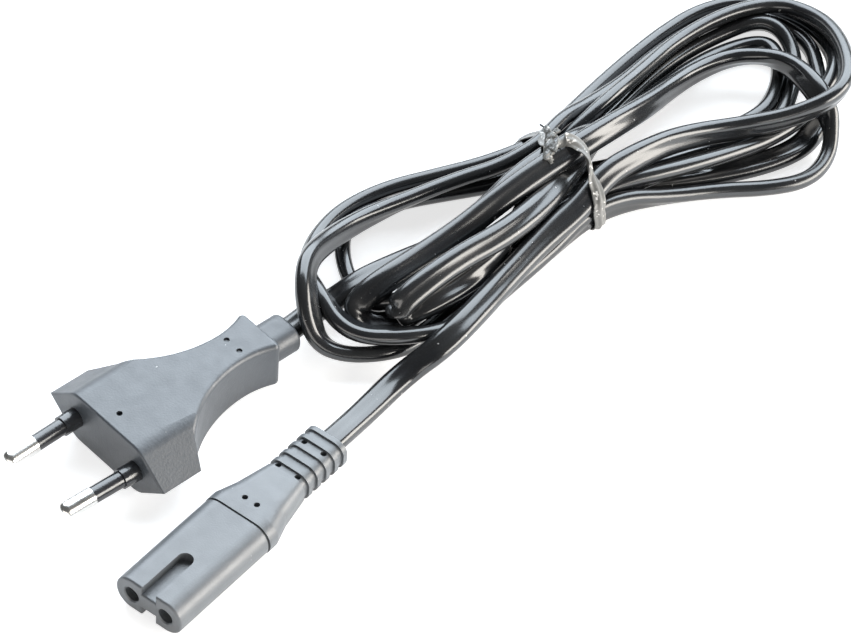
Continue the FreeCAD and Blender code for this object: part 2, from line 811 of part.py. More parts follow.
def plug_pin(name, side):
    """Pin: a round bare tip, a slim shank under the sleeve, an anchor ring and a wire crimp."""
    body = named("PartDesign::Body", name)
    shank = cell("pin_shank") / 2
    tip = station(body, name + "_tip", -cell("pin_length"))
    circle(tip, 0, 0, cell("pin_diameter") / 2)
    pad(body, tip, cell("pin_length") - cell("sleeve_length"), name + "_tip_pad")
    end = -cell("pin_length").value
    rounded_edges(body, cell("pin_nose"), name + "_nose", lambda box: abs(box.YMax - end) < 1e-6)
    rod = station(body, name + "_shank", -cell("sleeve_length"))
    circle(rod, 0, 0, shank)
    pad(body, rod, cell("sleeve_length") + plug_crimp_start, name + "_shank_pad")
    barrel = station(body, name + "_barrel", plug_crimp_start)
    circle(barrel, 0, 0, crimp_diameter / 2 + gap)
    circle(barrel, 0, 0, crimp_bore / 2 + gap)
    pad(body, barrel, cell("crimp_length"), name + "_barrel_pad")
    put_on_pin(body, side)
    return body


def pin_sleeve(name, side):
    """Insulating sleeve: a thicker root that runs into the bridge, and a slim front."""
    body = named("PartDesign::Body", name)
    root = station(body, name + "_root", -cell("sleeve_root_length"))
    circle(root, 0, 0, cell("sleeve_root_diameter") / 2)
    pad(body, root, cell("sleeve_root_length") + cell("sleeve_anchor"), name + "_root_pad")
    front = station(body, name + "_front", -cell("sleeve_length"))
    circle(front, 0, 0, cell("sleeve_diameter") / 2)
    pad(body, front, cell("sleeve_length") - cell("sleeve_root_length"), name + "_front_pad")
    bore = station(body, name + "_bore_outline", -cell("sleeve_length"))
    circle(bore, 0, 0, cell("pin_shank") / 2 + gap)
    pocket(body, bore, cell("sleeve_length") + cell("sleeve_anchor"), name + "_bore")
    put_on_pin(body, side)
    return body


def pin_space(name, side, diameter, start, end):
    """Round space on a pin's axis."""
    body = named("PartDesign::Body", name)
    section = station(body, name + "_section", start)
    circle(section, 0, 0, as_size(diameter) / 2 + gap)
    pad(body, section, end - start, name + "_pad")
    put_on_pin(body, side)
    return body


def bridge_block(name, grow):
    """Block that carries both pins inside the head."""
    body = named("PartDesign::Body", name)
    grow = as_size(grow)
    section = station(body, name + "_section", cell("bridge_start"))
    wide, high = cell("bridge_width") + grow * 2, cell("bridge_height") + grow * 2
    rounded_section(section, wide, high, cell("bridge_corner"))
    pad(body, section, cell("bridge_length"), name + "_pad")
    put_in_plug(body)
    return body


def plug_lead(name, side, start, diameter, bore=None):
    """One core, or its copper, from a start to the end of the cord's sheath."""
    bend = plug_crimp_end + cell("plug_bend_from")
    straight = bend + cell("plug_core_bend")
    run = (side, lead_outer, core_x, start, bend, straight, plug_sheath_start, diameter)
    return lead(name, put_in_plug, run, bore)


def build_plug(cord):
    """All pieces of the mains plug, moulded round the end of its cord."""
    pieces = []
    spaces = [bridge_block("bridge_space", gap), cord]
    holes = []
    wide = cell("core_diameter") + gap * 2
    copper = cell("conductor_diameter")
    for side, word in ((-1, "left"), (1, "right")):
        pieces.append(plug_pin("plug_pin_" + word, side))
        pieces.append(pin_sleeve("pin_sleeve_" + word, side))
        root = cell("sleeve_root_diameter")
        spaces.append(pin_space("sleeve_space_" + word, side, root, -root, cell("sleeve_anchor")))
        barrel = cell("pin_shank")
        barrel_from, barrel_to = bridge_end - gap * 2, plug_crimp_end + gap
        spaces.append(pin_space("barrel_space_" + word, side, barrel, barrel_from, barrel_to))
        spaces.append(plug_lead("plug_core_space_" + word, side, plug_crimp_end - gap, wide))
        holes.append(pin_space("sleeve_hole_" + word, side, root, as_size(0), cell("sleeve_anchor")))
        holes.append(pin_space("shank_hole_" + word, side, cell("pin_shank"), as_size(0), bridge_end + 1))
        copper_start = plug_crimp_start + cell("crimp_inset")
        pieces.append(plug_lead("plug_conductor_" + word, side, copper_start, copper))
        core_start = plug_crimp_end + gap
        pieces.append(plug_lead("plug_core_" + word, side, core_start, cell("core_diameter"), copper))
    pieces.append(cut("plug_body", plug_moulding(), spaces))
    pieces.append(cut("plug_bridge", bridge_block("bridge_blank", 0), holes))
    return pieces


hank_y = connector_y + HANK_Y_FROM_FACE


def put_in_hank(obj, x=0, y=0, z=0):
    """Lay a piece of the hank: its long way along its own X, the tie near x 0."""
    turn = math.radians(HANK_TURN)
    x, y = as_size(x), as_size(y)
    put(obj, x * math.cos(turn) - y * math.sin(turn) + HANK_X,
        x * math.sin(turn) + y * math.cos(turn) + hank_y, z, HANK_TURN)


def tangent_point(centre, radius, outside, side):
    """Where the tangent from an outside point touches a circle."""
    away = outside - centre
    lean = math.acos(radius / away.Length)
    return centre + Rotation(UP, side * math.degrees(lean)).multVec(away * (radius / away.Length))


def belt(sketch, near, far):
    """Outline of two round ends joined by tangents that meet at the hank's waist.

    near and far each hold the end's along, across and radius.
    """
    back, front = cell("waist_back"), -cell("waist_front")
    waist = [Vector(0, back.value, 0), Vector(0, front.value, 0)]
    arcs = []
    for along, across, radius in (near, far):
        centre = Vector(along.value, across.value, 0)
        side = 1 if along.value > 0 else -1
        upper = tangent_point(centre, radius.value, waist[0], -side)
        lower = tangent_point(centre, radius.value, waist[1], side)
        first, last = (lower, upper) if along.value > 0 else (upper, lower)
        start = math.atan2(first.y - centre.y, first.x - centre.x)
        end = math.atan2(last.y - centre.y, last.x - centre.x)
        end += 2 * math.pi if end < start else 0
        arcs.append(Part.ArcOfCircle(Part.Circle(centre, UP, radius.value), start, end))
    left, right = arcs
    lines = [(left.EndPoint, waist[1]), (waist[1], right.StartPoint),
             (right.EndPoint, waist[0]), (waist[0], left.StartPoint)]
    sketch.addGeometry(arcs + [Part.LineSegment(*line) for line in lines], False)
    sketch.addConstraint(Sketcher.Constraint("Tangent", 0, 2, 2, 1))
    sketch.addConstraint(Sketcher.Constraint("Coincident", 2, 2, 3, 1))
    sketch.addConstraint(Sketcher.Constraint("Tangent", 3, 2, 1, 1))
    sketch.addConstraint(Sketcher.Constraint("Tangent", 1, 2, 4, 1))
    sketch.addConstraint(Sketcher.Constraint("Coincident", 4, 2, 5, 1))
    sketch.addConstraint(Sketcher.Constraint("Tangent", 5, 2, 0, 1))
    pin_point(sketch, 3, 1, 0, front)
    pin_point(sketch, 5, 1, 0, back)
    for i, (along, across, radius) in enumerate((near, far)):
        pin_point(sketch, i, 3, along, across)
        hold_radius(sketch, i, radius)


def window(body, name, side):
    """Opening in one loop of the hank: two round ends and their common tangents."""
    wide = cell(name + "_radius")
    tip = cell("window_tip")
    across = cell(name + "_across")
    ends = [(cell(name + "_to") * side, tip), (cell(name + "_from") * side, wide)]
    sketch = new_sketch(body, name + "_outline", "XY_Plane")
    reach = abs(ends[1][0].value - ends[0][0].value)
    lean = math.asin((wide.value - tip.value) / reach)
    swing = math.pi / 2 + lean
    aim = 0 if side > 0 else math.pi
    turns = [(ends[0], math.pi - swing, aim + math.pi), (ends[1], swing, aim)]
    shapes = []
    for (along, radius), half, aim_at in turns:
        rim = Part.Circle(Vector(along.value, across.value, 0), UP, radius.value)
        shapes.append(Part.ArcOfCircle(rim, aim_at - half, aim_at + half))
    small, big = shapes
    sides = [(big.EndPoint, small.StartPoint), (small.EndPoint, big.StartPoint)]
    shapes += [Part.LineSegment(*ends_of_side) for ends_of_side in sides]
    sketch.addGeometry(shapes, False)
    for joint in ((1, 2, 2, 1), (2, 2, 0, 1), (0, 2, 3, 1), (3, 2, 1, 1)):
        sketch.addConstraint(Sketcher.Constraint("Tangent", *joint))
    for i, (along, radius) in enumerate(ends):
        pin_point(sketch, i, 3, along, across)
        hold_radius(sketch, i, radius)
    pocket(body, sketch, cell("hank_height") * 2 + 1, name, both=True)


def hank_blank():
    """Closed outer shape of the tied hank, with a window in each loop."""
    body = named("PartDesign::Body", "hank_blank")
    outline = new_sketch(body, "hank_outline", "XY_Plane")
    near = (-cell("near_end_along"), cell("near_end_across"), cell("near_end_radius"))
    far = (cell("far_end_along"), cell("far_end_across"), cell("far_end_radius"))
    belt(outline, near, far)
    pad(body, outline, cell("hank_height"), "hank_pad", backwards=False)
    window(body, "near_window", -1)
    window(body, "far_window", 1)
    height = cell("hank_height").value

    def on_rim(box):
        return box.ZLength < 1e-6 and (abs(box.ZMin) < 1e-6 or abs(box.ZMin - height) < 1e-6)

    rounded_edges(body, cell("hank_edge"), "hank_rounding", on_rim)
    put_in_hank(body)
    return body


squeeze = cell("tie_squeeze") * 2
tied_width = cell("waist_back") + cell("waist_front") - squeeze
tied_height = cell("hank_height") - squeeze
tie_y = (cell("waist_back") - cell("waist_front")) / 2
tie_z = cell("hank_height") / 2


def tie_ring(name, inside, outside, width):
    """Rounded ring round the hank's waist, between two distances from the squeezed bundle."""
    body = named("PartDesign::Body", name)
    inside, outside, width = as_size(inside), as_size(outside), as_size(width)
    outline = new_sketch(body, name + "_outline", "YZ_Plane")
    corner = cell("tie_corner")
    rounded_section(outline, tied_width + outside * 2, tied_height + outside * 2, corner + outside)
    pad(body, outline, width, name + "_pad", backwards=False, both=True)
    hole = new_sketch(body, name + "_hole_outline", "YZ_Plane")
    rounded_section(hole, tied_width + inside * 2, tied_height + inside * 2, corner + inside)
    pocket(body, hole, width + 1, name + "_hole", both=True)
    put_in_hank(body, cell("tie_along"), tie_y, tie_z)
    return body


def tie_wire():
    """The tie's wire: a thin round wire in the middle of the ribbon's thickness."""
    body = named("PartDesign::Body", "tie_wire")
    middle = cell("tie_gap") + cell("tie_thickness") / 2
    path = new_sketch(body, "wire_path", "YZ_Plane")
    rounded_section(path, tied_width + middle * 2, tied_height + middle * 2, cell("tie_corner") + middle)
    section = new_sketch(body, "wire_section", "XZ_Plane")
    circle(section, 0, tied_height / 2 + middle, cell("wire_diameter") / 2)
    pipe = body.newObject("PartDesign::AdditivePipe", "wire_pipe")
    pipe.Profile = section
    pipe.Spine = path
    put_in_hank(body, cell("tie_along"), tie_y, tie_z)
    return body


def twist_bar(name, across, z, length, axis):
    """Round bar that stands for the tie's two ends twisted together."""
    bar = named("Part::Cylinder", name)
    bind(bar, "Radius", cell("twist_diameter") / 2)
    bind(bar, "Height", length)
    put_in_hank(bar, cell("tie_along"), across, z)
    bar.Placement = Placement(bar.Placement.Base, Rotation(UP, axis))
    return bar


def tie_channel():
    """Ring of space round the squeezed bundle, a little wider than the tie."""
    outer = cell("hank_height")
    return tie_ring("tie_channel", 0, outer, cell("tie_width") + cell("tie_gap") * 2)


def build_tie():
    """The tie's ribbon with its twisted ends, and the wire inside it."""
    wire = tie_wire()
    thickness = cell("tie_thickness")
    ring = tie_ring("tie_ring", cell("tie_gap"), cell("tie_gap") + thickness, cell("tie_width"))
    knot_across = cell("waist_back") - cell("tie_squeeze") - cell("tie_corner")
    knot_z = cell("hank_height") - cell("tie_squeeze") + cell("tie_gap") + thickness * 0.7
    tail_z = cell("hank_height") + cell("tie_gap") + cell("twist_diameter") / 2
    knot = twist_bar("tie_knot", knot_across, knot_z, tail_z - knot_z, UP)
    turn = math.radians(HANK_TURN + TWIST_TURN)
    aim = Vector(math.cos(turn), math.sin(turn), 0)
    tail = twist_bar("tie_tail", knot_across, tail_z, cell("twist_length"), aim)
    blank = named("Part::MultiFuse", "ribbon_blank")
    blank.Shapes = [ring, knot, tail]
    return [cut("tie_ribbon", blank, [wire]), wire]


def cord_path(name, points):
    """Straight runs joined by tangent arcs, each as wide as its shorter run allows."""
    edges = []
    start = points[0]
    for before, corner, after in zip(points, points[1:], points[2:]):
        into, out = corner - before, after - corner
        half_turn = into.getAngle(out) / 2
        reach = ARC_SHARE * min(into.Length, out.Length)
        radius = reach / math.tan(half_turn)
        print("%s arc radius %.1f mm" % (name, radius))
        first = corner - into.normalize() * reach
        last = corner + out.normalize() * reach
        inward = ((first + last) / 2 - corner).normalize()
        middle = corner + inward * radius * (1 / math.cos(half_turn) - 1)
        edges.append(Part.LineSegment(start, first).toShape())
        edges.append(Part.Arc(first, middle, last).toShape())
        start = last
    edges.append(Part.LineSegment(start, points[-1]).toShape())
    return Part.Wire(edges)


def cord_section(centre, along):
    """Flat section across a direction: two half rounds and two straight sides."""
    half_round = cell("cord_height").value / 2
    straight = cell("cord_width").value / 2 - half_round
    across = UP.cross(along).normalize()
    corners = [centre + across * straight * side + UP * half_round * rise
               for side, rise in ((-1, 1), (1, 1), (1, -1), (-1, -1))]
    ends = [centre + across * (straight + half_round) * side for side in (1, -1)]
    edges = [Part.LineSegment(corners[0], corners[1]), Part.Arc(corners[1], ends[0], corners[2]),
             Part.LineSegment(corners[2], corners[3]), Part.Arc(corners[3], ends[1], corners[0])]
    return Part.Wire([edge.toShape() for edge in edges])


def cord_tube(name, points):
    """One free run of the flat cord, its flat sides kept level."""
    path = cord_path(name, points)
    section = cord_section(points[0], points[1] - points[0])
    sweep = Part.BRepOffsetAPI.MakePipeShell(path)
    sweep.setBiNormalMode(UP)
    sweep.add(section, False, False)
    sweep.build()
    sweep.makeSolid()
    tube = named("Part::Feature", name)
    tube.Shape = sweep.shape()
    tube.Placement = Placement()
    expected = Part.Face(section).Area * path.Length
    if abs(tube.Shape.Volume / expected - 1) > 0.03:
        raise ValueError("%s holds %.0f of %.0f mm3" % (name, tube.Shape.Volume, expected))
    return tube


def free_run(name, start, along, straight, corners):
    """Free run that leaves its moulded end straight and then takes the chosen corners."""
    return cord_tube(name, [start, start + along * straight] + [Vector(*corner) for corner in corners])


def build_cord():
    """The cord's free runs, each beginning inside the end moulded on it."""
    connector_end = Vector(0, (connector_y + sheath_start).value, connector_z.value)
    plug_front = Vector(PLUG_X, plug_y.value, plug_z.value)
    plug_end = plug_front + plug_axis * plug_sheath_start.value
    rearward = Vector(0, 1, 0)
    to_connector = free_run("cord_to_connector", connector_end, rearward, CONNECTOR_STRAIGHT, CONNECTOR_CORD)
    return to_connector, free_run("cord_to_plug", plug_end, plug_axis, PLUG_STRAIGHT, PLUG_CORD)


def write_pieces(pieces):
    """Export every sound piece; stop at the first that is not."""
    for item in doc.Objects:
        if "Invalid" in item.State or "Error" in item.State:
            raise ValueError(item.Name + " is not sound")
    for piece in pieces:
        if piece.Shape.isNull() or not piece.Shape.isValid() or len(piece.Shape.Solids) != 1:
            raise ValueError(piece.Label + " has no sound single solid")
    for piece in pieces:
        piece.Shape.exportStep("parts/" + piece.Label + ".step")


to_connector, to_plug = build_cord()
pieces = build_connector(to_connector) + build_plug(to_plug) + build_tie()
pieces.append(cut("cord_hank", hank_blank(), [to_connector, to_plug, tie_channel()]))
pieces += [to_connector, to_plug]
doc.recompute()
write_pieces(pieces)
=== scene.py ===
import math

import bmesh
import bpy
from mathutils import Matrix, Vector


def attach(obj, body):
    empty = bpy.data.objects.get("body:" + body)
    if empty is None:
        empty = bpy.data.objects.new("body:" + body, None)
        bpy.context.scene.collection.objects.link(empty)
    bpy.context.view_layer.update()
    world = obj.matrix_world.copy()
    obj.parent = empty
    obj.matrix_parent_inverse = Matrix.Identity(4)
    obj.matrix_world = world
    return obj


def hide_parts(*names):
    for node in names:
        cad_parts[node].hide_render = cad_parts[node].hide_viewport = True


MM = 0.001
UP = Vector((0, 0, 1))

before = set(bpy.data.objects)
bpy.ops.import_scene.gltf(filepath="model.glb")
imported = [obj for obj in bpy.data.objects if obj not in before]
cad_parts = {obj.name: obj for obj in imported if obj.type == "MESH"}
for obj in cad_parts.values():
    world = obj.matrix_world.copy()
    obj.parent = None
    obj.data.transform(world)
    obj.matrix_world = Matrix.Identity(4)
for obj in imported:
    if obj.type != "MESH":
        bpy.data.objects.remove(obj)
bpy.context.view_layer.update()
scene = bpy.context.scene


# Camera: a long lens looking down from the front right, rolled a little

IMAGE_WIDTH = 851
SENSOR_WIDTH = 36.0
FOCAL_PIXELS = 4000.0
CAMERA_AZIMUTH = math.radians(34.79)
CAMERA_ELEVATION = math.radians(46.16)
CAMERA_ROLL = math.radians(4.48)
CAMERA_DISTANCE = 845.6 * MM
NEAR_CLIP = 50 * MM
CAMERA_TARGET = Vector((-9.25, 72.46, 0)) * MM


def camera_axes():
    """Right, up and back directions of the camera."""
    level = math.cos(CAMERA_ELEVATION)
    back = Vector((math.sin(CAMERA_AZIMUTH) * level, -math.cos(CAMERA_AZIMUTH) * level,
                   math.sin(CAMERA_ELEVATION)))
    right = Vector((math.cos(CAMERA_AZIMUTH), math.sin(CAMERA_AZIMUTH), 0))
    up = back.cross(right)
    rolled_right = right * math.cos(CAMERA_ROLL) + up * math.sin(CAMERA_ROLL)
    return rolled_right, back.cross(rolled_right), back


def add_camera():
    """The camera that frames the whole cord set."""
    data = bpy.data.cameras.new("camera")
    data.sensor_width = SENSOR_WIDTH
    data.lens = FOCAL_PIXELS / IMAGE_WIDTH * SENSOR_WIDTH
    data.clip_start = NEAR_CLIP
    camera = bpy.data.objects.new("camera", data)
    right, up, back = camera_axes()
    turn = Matrix((right, up, back)).transposed()
    camera.matrix_world = Matrix.Translation(CAMERA_TARGET + back * CAMERA_DISTANCE) @ turn.to_4x4()
    scene.collection.objects.link(camera)
    scene.camera = camera


# Cord: flat twin cord, from the connector through the tied hank to the plug

CORD_WIDTH = 5.8 * MM
CORD_HEIGHT = 3.4 * MM
GROOVE_DEPTH = 0.12 * MM
# Points of the groove and its edge, as shares of half the flat
GROOVE_SHARES = (0.6, 0.25, -0.25, -0.6)
GROOVE_END = 0.75
SECTION_STEPS = 10
LINE_STEPS = 8
# Degrees to one unit of height where rolls are read along a spline
ROLL_UNIT = 100

# The hank's frame in the connector's frame, in millimetres
HANK_ORIGIN = Vector((-3.0, 119.1, 0))
HANK_TURN = math.radians(76)

# Rolls in degrees of a strand that lies flat or stands on edge, and the way most others lean
FLAT = 180
UPRIGHT = 90
LEAN_TOWARDS = Vector((0.396, -0.569, 0.721))


def lean(extra):
    """Roll that is so many degrees further round than the hank's common lean."""
    return ("lean", extra)


LEANING = lean(0)
FACING = lean(90)

# The connector's free run, in the connector's frame: x, y, z and roll
CONNECTOR_RUN = [
    (0, 19.9, 4, FLAT), (0, 30, 4, FLAT), (-1, 41, 2, FLAT), (-1.5, 54, 2.2, 188),
    (3.3, 61.6, 8.9, 198), (2.9, 73.6, 9.5, 208), (0.9, 86.5, 8, 214),
]

# The turns, in the hank's frame: along from the tie, across to the back, up, and roll.
# Each heading starts a stretch. All but the last go from the tie round one end and back to it.
HANK_TURNS = [
    # Front of the tie, then the outermost far turn, which lies on top
    (-17.8, -7.6, 8.5, FACING), (-6.1, -6.1, 10.4, FACING), (3, -3.1, 12.8, lean(103)),
    (13.5, -2.4, 12.5, lean(108)), (26.4, -1.5, 9.8, lean(118)), (39.9, -6.2, 9, lean(133)),
    (49.1, -12, 11.6, lean(148)), (58.4, -15.6, 15.5, lean(164)), (65.6, -11.7, 15, LEANING),
    (72, -3.8, 13.4, LEANING), (76, 4.5, 11.5, LEANING), (77.5, 12.2, 9.3, LEANING),
    (75.5, 19.5, 8.2, LEANING), (68, 23.7, 8.1, LEANING), (57.6, 25.2, 7.9, LEANING),
    (45.8, 24.3, 7.6, LEANING), (33.4, 20.3, 9, LEANING), (20.2, 15.9, 11.5, LEANING),
    (9, 14, 9.3, LEANING),
    # Near turn on the floor, whose end is the small dark inner bend
    (0.4, 14.6, 3.6, UPRIGHT), (-10.3, 15.2, 2.5, LEANING), (-20.4, 19, 2.7, LEANING),
    (-31.3, 23.3, 2.6, LEANING), (-41.4, 25, 2.8, LEANING), (-48.2, 22.4, 2.9, LEANING),
    (-53.6, 14.7, 3.1, LEANING), (-56.1, 6.9, 2.8, LEANING), (-56.5, 2, 3, LEANING),
    (-55.5, -0.8, 5.9, LEANING), (-50.9, -4.3, 7.7, LEANING), (-42, -5.7, 5.9, LEANING),
    (-31.4, -4, 4.3, LEANING), (-17.4, -0.5, 3.7, LEANING), (-4.5, 1.6, 3.8, UPRIGHT),
    # Second far turn, flat in front and innermost at the back
    (7.8, -0.5, 3.1, UPRIGHT), (19.4, -5, 2.4, 150), (31.6, -8.8, 1.7, FLAT), (42.7, -12.4, 1.7, FLAT),
    (52.6, -13.2, 1.7, FLAT), (59.9, -10.2, 1.7, FLAT), (64.1, -5.7, 2.3, 155),
    (69.6, 0.3, 3.1, LEANING), (75.5, 8.9, 2.9, LEANING), (75.5, 17.4, 2.6, LEANING),
    (72.2, 24.1, 2.6, LEANING), (65.1, 28.4, 2.6, LEANING), (53.9, 29, 2.9, LEANING),
    (41.9, 26.7, 3.4, LEANING), (29.6, 22.9, 4.7, LEANING), (17.5, 20.4, 6.8, LEANING),
    (8.2, 18.1, 9.6, LEANING),
    # Near turn on top, which comes down in front
    (-0.8, 14.4, 10.2, LEANING), (-10.5, 15.3, 8.1, LEANING), (-20.4, 17.9, 7.6, LEANING),
    (-33.3, 19.6, 7.3, LEANING), (-45, 19.9, 7.6, lean(25)), (-56.4, 16.8, 10.7, lean(30)),
    (-66, 11.6, 14.6, lean(30)), (-71, 5.6, 14.3, lean(30)), (-73.1, 1, 9.9, lean(30)),
    (-73.1, -2.6, 5.7, lean(20)), (-69.7, -6.1, 3.4, LEANING), (-63.6, -9.9, 2.9, LEANING),
    (-56.6, -11.4, 2.6, 150), (-47.3, -9.9, 2.3, 150), (-34.8, -7.4, 2.8, LEANING),
    (-19.5, -5, 3.4, LEANING), (-4.3, -1.6, 4.2, UPRIGHT),
    # Third far turn, outermost at the back
    (6.6, -3.5, 7.4, UPRIGHT), (18.8, -6.8, 8, LEANING), (31.3, -8.9, 6.8, LEANING),
    (44, -9.6, 4.8, LEANING), (55.3, -8.9, 4.7, LEANING), (64.6, -6.9, 8, LEANING),
    (72.4, -2, 7.8, LEANING), (78.5, 7.3, 4, LEANING), (80.2, 16.7, 2.6, LEANING),
    (76.7, 25.1, 2.6, LEANING), (70.6, 31.2, 2.6, LEANING), (61.3, 33.4, 2.7, LEANING),
    (50.3, 32.3, 2.7, LEANING), (37.6, 29.4, 3.1, LEANING), (25, 26.4, 2.7, LEANING),
    (13.5, 22.9, 2.8, LEANING),
    # Outermost near turn, which dives under the one on top and ends inside it
    (3.1, 19.1, 4.5, LEANING), (-9, 21.4, 3.4, LEANING), (-20, 25.2, 2.6, LEANING),
    (-32.1, 28.6, 2.6, LEANING), (-43.8, 28.6, 2.7, LEANING), (-53.2, 25, 2.9, LEANING),
    (-60.6, 18.9, 4.6, LEANING), (-65, 12, 8, LEANING), (-66.9, 5.1, 9.9, LEANING),
    (-67.6, -1, 8.3, lean(20)), (-65.6, -6.5, 7.4, lean(25)), (-59.8, -11.7, 7.9, lean(20)),
    (-51.5, -15.1, 6.7, LEANING), (-41.5, -14, 4.2, LEANING), (-28.9, -10.4, 2.8, LEANING),
    (-14.7, -7.1, 2.8, LEANING), (-3.5, -5.8, 6.1, UPRIGHT),
    # Fourth far turn, which spreads furthest to the front
    (5.9, -6.5, 5.9, UPRIGHT), (15.9, -9.2, 3.9, LEANING), (27.5, -13.4, 2.6, LEANING),
    (37.5, -19.6, 2.6, LEANING), (46.2, -22.7, 2.7, LEANING), (54.2, -20, 2.8, LEANING),
    (58.9, -15.8, 6, LEANING), (58.9, -11.2, 11.5, lean(70)), (60.2, -4.9, 11.8, lean(60)),
    (62.2, 3.1, 9.2, lean(30)), (60.8, 9.5, 7.8, LEANING), (55.1, 14, 6.9, lean(15)),
    (46.7, 15.2, 6.6, lean(25)), (36.5, 13.3, 8, lean(25)), (25.2, 9.1, 11.6, lean(45)),
    (13.6, 6.2, 14.7, lean(65)),
    # Upper flat strand over the near turns, and its fold
    (1.4, 4.1, 16.4, FACING), (-10.8, 3.5, 16, FACING), (-22.1, 2.8, 14, lean(85)),
    (-32.1, 2.2, 11.5, lean(80)), (-43.9, 1.3, 10.8, lean(85)), (-55.6, -0.3, 11.6, FACING),
    (-61.8, 0.1, 8.7, lean(80)), (-61.7, -1.7, 4.8, lean(70)), (-58.3, -4.2, 3.3, lean(70)),
    (-52.5, -4.9, 2.2, lean(80)), (-40.7, -1.8, 2.2, lean(85)), (-26.2, 1.7, 3.2, UPRIGHT),
    (-10.9, 4.1, 2.8, UPRIGHT), (1.5, 4.5, 3, UPRIGHT),
    # Fifth far turn, low and narrow, with its steep end
    (11.3, 1.6, 3.4, UPRIGHT), (22.5, -1.1, 3.4, LEANING), (33.3, -2.9, 2.8, LEANING),
    (43.7, -4.8, 2.6, LEANING), (52.7, -4.8, 2.8, LEANING), (60.4, -0.4, 3.1, LEANING),
    (67.2, 5.5, 3.3, LEANING), (70.7, 11.2, 4.6, LEANING), (71, 16.5, 6.2, LEANING),
    (68.4, 21.1, 5.7, LEANING), (61.6, 23.7, 3.6, LEANING), (50.2, 24.3, 2.9, LEANING),
    (37, 21.9, 2.9, LEANING), (23.6, 17.4, 2.8, lean(15)), (11.2, 11.6, 6.2, lean(45)),
    # Lower flat strand in front of the first, and its fold
    (-0.3, 3.7, 11.4, FACING), (-13.3, -2.1, 12.5, FACING), (-26.6, -5.9, 14.3, lean(85)),
    (-39.5, -6.5, 14.8, lean(78)), (-50.6, -7.9, 14.4, lean(85)), (-57.3, -8.3, 12.2, lean(85)),
    (-55.8, -7.2, 7.8, lean(80)), (-50.3, -9.4, 9.8, lean(85)), (-40.9, -9.1, 9.1, lean(80)),
    (-28.3, -6.7, 9.3, UPRIGHT), (-13.9, 2.5, 9.8, UPRIGHT), (-2, 9.8, 5.2, UPRIGHT),
    # Sixth far turn, innermost of all
    (8.5, 5.9, 2.4, UPRIGHT), (20.6, 3.2, 3.7, LEANING), (33.6, 2.1, 3.4, LEANING),
    (43, -0.6, 2.6, LEANING), (52.3, -0.6, 2.8, LEANING), (58.4, 2.5, 2.9, LEANING),
    (64, 7.1, 2.9, LEANING), (67.8, 13, 2.9, LEANING), (67.2, 17, 2.7, LEANING),
    (62.2, 19.2, 2.6, LEANING), (53.6, 19.9, 2.9, LEANING), (43.3, 18.7, 3.6, LEANING),
    (30.3, 15.3, 5.2, LEANING), (16.7, 10.3, 10.3, 50),
    # Under the upper flat strand and out to the plug
    (2.7, 8, 14.1, 0), (-12.2, 6.9, 13.2, 0), (-23.5, 5.4, 9.2, 0), (-34.3, 4.6, 6.4, 0),
    (-45.8, 4.9, 7.6, 0), (-56.6, 5.2, 8.1, 0), (-63.4, 6.8, 4, 0),
]

# The plug's free run, in the connector's frame, with its last point inside the collar
PLUG_RUN = [(-25.2, 54, 5.4, 0), (-25.1, 44, 6.5, 0), (-26.2, 37.4, 6.5, 0)]


def hank_point(point):
    """Point of the hank's frame in the connector's frame, both in millimetres."""
    return HANK_ORIGIN + Matrix.Rotation(HANK_TURN, 3, "Z") @ Vector(point)


def hank_place(point):
    """Point of the hank's frame as a place in metres."""
    return hank_point(point) * MM


def from_hank(row):
    """Row of the hank's frame, with its roll, moved to the connector's frame."""
    return (*hank_point(row[:3]), row[3])


def leaning_roll(before, after):
    """Roll that points a strand's wide side along the hank's common lean."""
    side = UP.cross(after - before).normalized()
    return math.degrees(math.atan2(LEAN_TOWARDS.z, LEAN_TOWARDS.dot(side)))


def cord_route():
    """Control points of the whole cord in metres, and the roll at each in degrees."""
    rows = CONNECTOR_RUN + [from_hank(point) for point in HANK_TURNS] + PLUG_RUN
    points = [Vector(row[:3]) * MM for row in rows]
    rolls = []
    for i, row in enumerate(rows):
        roll = row[3]
        if isinstance(roll, tuple):
            _, extra = roll
            roll = leaning_roll(points[i - 1], points[i + 1]) + extra
        rolls.append(roll)
    return points, rolls


def nearest_turn(rolls):
    """The same rolls, each moved by half turns to lie close to the one before it."""
    out = [rolls[0]]
    for roll in rolls[1:]:
        out.append(roll + 180 * round((out[-1] - roll) / 180))
    return out


def read_spline(name, points):
    """Points along the smooth NURBS line of some control points."""
    curve = bpy.data.curves.new(name, "CURVE")
    curve.dimensions = "3D"
    curve.resolution_u = LINE_STEPS
    spline = curve.splines.new("NURBS")
    spline.points.add(len(points) - 1)
    for spot, place in zip(spline.points, points):
        spot.co = (*place, 1)
    spline.order_u = 3
    spline.use_endpoint_u = True
    holder = bpy.data.objects.new(name, curve)
    mesh = bpy.data.meshes.new_from_object(holder)
    line = [vertex.co.copy() for vertex in mesh.vertices]
    bpy.data.meshes.remove(mesh)
    bpy.data.objects.remove(holder)
    bpy.data.curves.remove(curve)
    return line


def blend_rolls(name, rolls):
    """Rolls at the control points, blended along a line just as its points are."""
    spots = read_spline(name, [(i, roll / ROLL_UNIT, 0) for i, roll in enumerate(rolls)])
    return [spot.y * ROLL_UNIT for spot in spots]


